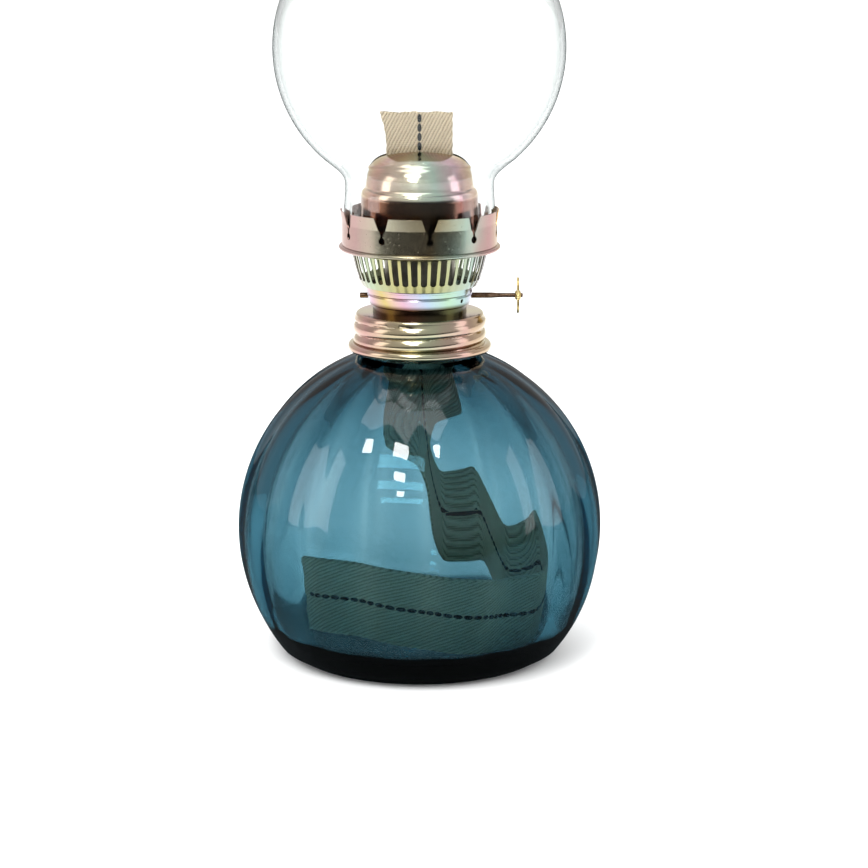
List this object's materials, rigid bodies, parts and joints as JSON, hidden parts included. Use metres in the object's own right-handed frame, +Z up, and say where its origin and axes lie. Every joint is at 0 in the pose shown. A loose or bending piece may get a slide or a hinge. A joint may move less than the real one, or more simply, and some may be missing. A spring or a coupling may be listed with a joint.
{
  "type": "oil lamp",
  "caption": "Table oil lamp with a lobed glass font, screw-on flat-wick burner with thumb-wheel wick winder, pronged gallery, slotted dome and clear ball chimney.",
  "frame": {"origin": "on the floor under the lamp's axis, in the plane of the foot ring", "axes": "+Z up along the lamp's axis, +X towards the thumb wheel, -Y towards the viewer"},
  "size_m": [0.1234, 0.1232, 0.3051],
  "materials": {
    "font_glass": "blue-green pressed glass, polished",
    "chimney_glass": "clear blown glass",
    "cap_plate": "yellow passivated zinc plate, bright",
    "cup_plate": "rainbow passivated zinc plate, bright",
    "gallery_plate": "rainbow passivated zinc plate, brown and pink",
    "inner_plate": "passivated zinc plate, dull",
    "spindle_steel": "dark bronzed steel",
    "thumb_brass": "pale brass, worn",
    "seal": "flat rubber seal",
    "wick_cotton": "woven cotton tape with a dark stitched middle line"
  },
  "bodies": {
    "font": {"font": "font_glass"},
    "gasket": {"cap_gasket": "seal"},
    "burner": {"screw_cap": "cap_plate", "base_cup": "cup_plate", "base_plate": "inner_plate", "basket": "cup_plate", "air_plate": "inner_plate", "wick_tube": "inner_plate", "wheel_box": "inner_plate", "gallery": "gallery_plate", "dome": "gallery_plate", "wick_tail": "wick_cotton"},
    "spindle": {"spindle": "spindle_steel", "wick_wheel_left": "spindle_steel", "wick_wheel_right": "spindle_steel", "thumb_wheel": "thumb_brass"},
    "wick": {"wick": "wick_cotton"},
    "chimney": {"chimney": "chimney_glass"}
  },
  "joints": [
    {"name": "cap_lift", "type": "slide", "parent": "font", "child": "gasket", "axis": [0, 0, 1], "range_m": [0, 0.00631]},
    {"name": "cap_turn", "type": "hinge", "parent": "gasket", "child": "burner", "pos_m": [0, 0, 0.11563], "axis": [0, 0, 1], "range_deg": [0, 540]},
    {"name": "spindle_turn", "type": "hinge", "parent": "burner", "child": "spindle", "pos_m": [0, 0.0049, 0.12188], "axis": [1, 0, 0], "range_deg": [-60, 280]},
    {"name": "wick_raise", "type": "slide", "parent": "burner", "child": "wick", "axis": [0, 0, 1], "range_m": [-0.0175, 0.0037], "deforming": ["wick_tail"]},
    {"name": "chimney_lift", "type": "slide", "parent": "burner", "child": "chimney", "axis": [0, 0, 1], "range_m": [0, 0.06]}
  ],
  "couplings": [
    {"joint": "cap_lift", "follows": "cap_turn", "m_per_rad": 0.00066845},
    {"joint": "spindle_turn", "follows": "wick_raise", "rad_per_m": -277.78}
  ]
}
